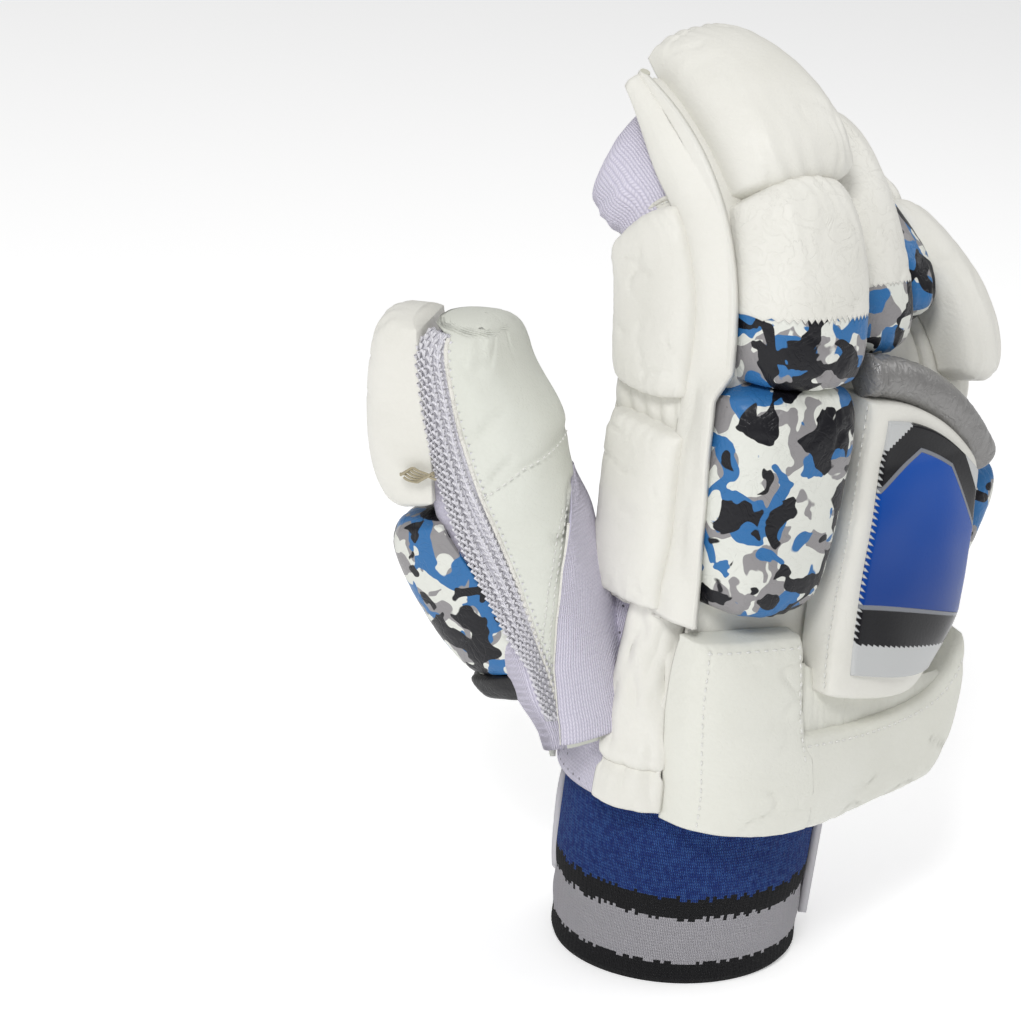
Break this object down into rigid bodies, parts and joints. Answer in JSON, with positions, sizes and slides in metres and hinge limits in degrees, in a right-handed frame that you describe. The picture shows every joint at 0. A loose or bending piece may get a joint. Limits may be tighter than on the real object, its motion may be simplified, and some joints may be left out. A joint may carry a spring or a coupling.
{
  "type": "cricket batting glove",
  "caption": "Right-hand cricket batting glove: knitted hand with leather palm, padded finger rolls, thumb guard, back plate and wrist guard, and a ribbed wrist band.",
  "frame": {"origin": "centre of the bounding box at its bottom, in the plane of the wrist band's lower rim", "axes": "+X towards the little-finger side, -X towards the thumb, -Y out of the back of the hand, +Y out of the palm, +Z from the wrist towards the fingertips"},
  "size_m": [0.1988, 0.1388, 0.3043],
  "materials": {
    "white_leather": "smooth white leather over foam, lightly grained",
    "palm_leather": "soft pale palm leather, matt",
    "knit_pale": "pale stretch knit",
    "knit_blue": "ribbed knit in blue, black and melange bands",
    "camo_blue": "printed leather in a blue, black and grey pattern",
    "silver": "silver-grey coated leather",
    "badge_black": "glossy moulded panel",
    "strap_grey": "coated strap, satin"
  },
  "bodies": {
    "root": {"back_plate": "white_leather", "badge_panel": "badge_black", "guard_channel": "white_leather", "hand_back": "white_leather", "hand_body": "knit_pale", "index_back": "white_leather", "index_base_roll": "camo_blue", "index_front": "palm_leather", "index_mid_roll": "white_leather", "index_sleeve": "knit_pale", "index_tip_roll": "white_leather", "knuckle_piping": "silver", "little_back": "white_leather", "little_base_roll": "camo_blue", "little_front": "palm_leather", "little_mid_roll": "white_leather", "little_sleeve": "knit_pale", "little_tip_roll": "white_leather", "middle_back": "white_leather", "middle_front": "palm_leather", "middle_mid_roll": "white_leather", "middle_sleeve": "knit_pale", "middle_tip_roll": "white_leather", "palm_leather": "palm_leather", "ring_back": "white_leather", "ring_front": "palm_leather", "ring_mid_roll": "camo_blue", "ring_sleeve": "knit_pale", "ring_tip_roll": "camo_blue", "side_pad_lower": "white_leather", "side_pad_upper": "white_leather", "side_strip": "white_leather", "strap_panel": "strap_grey", "strap_tab": "strap_grey", "thumb_base_pad": "white_leather", "thumb_front": "palm_leather", "thumb_sleeve": "knit_pale", "thumb_tip_pad": "white_leather", "wrist_band": "knit_blue", "wrist_guard": "white_leather", "wrist_side_strip": "white_leather"}
  },
  "joints": []
}
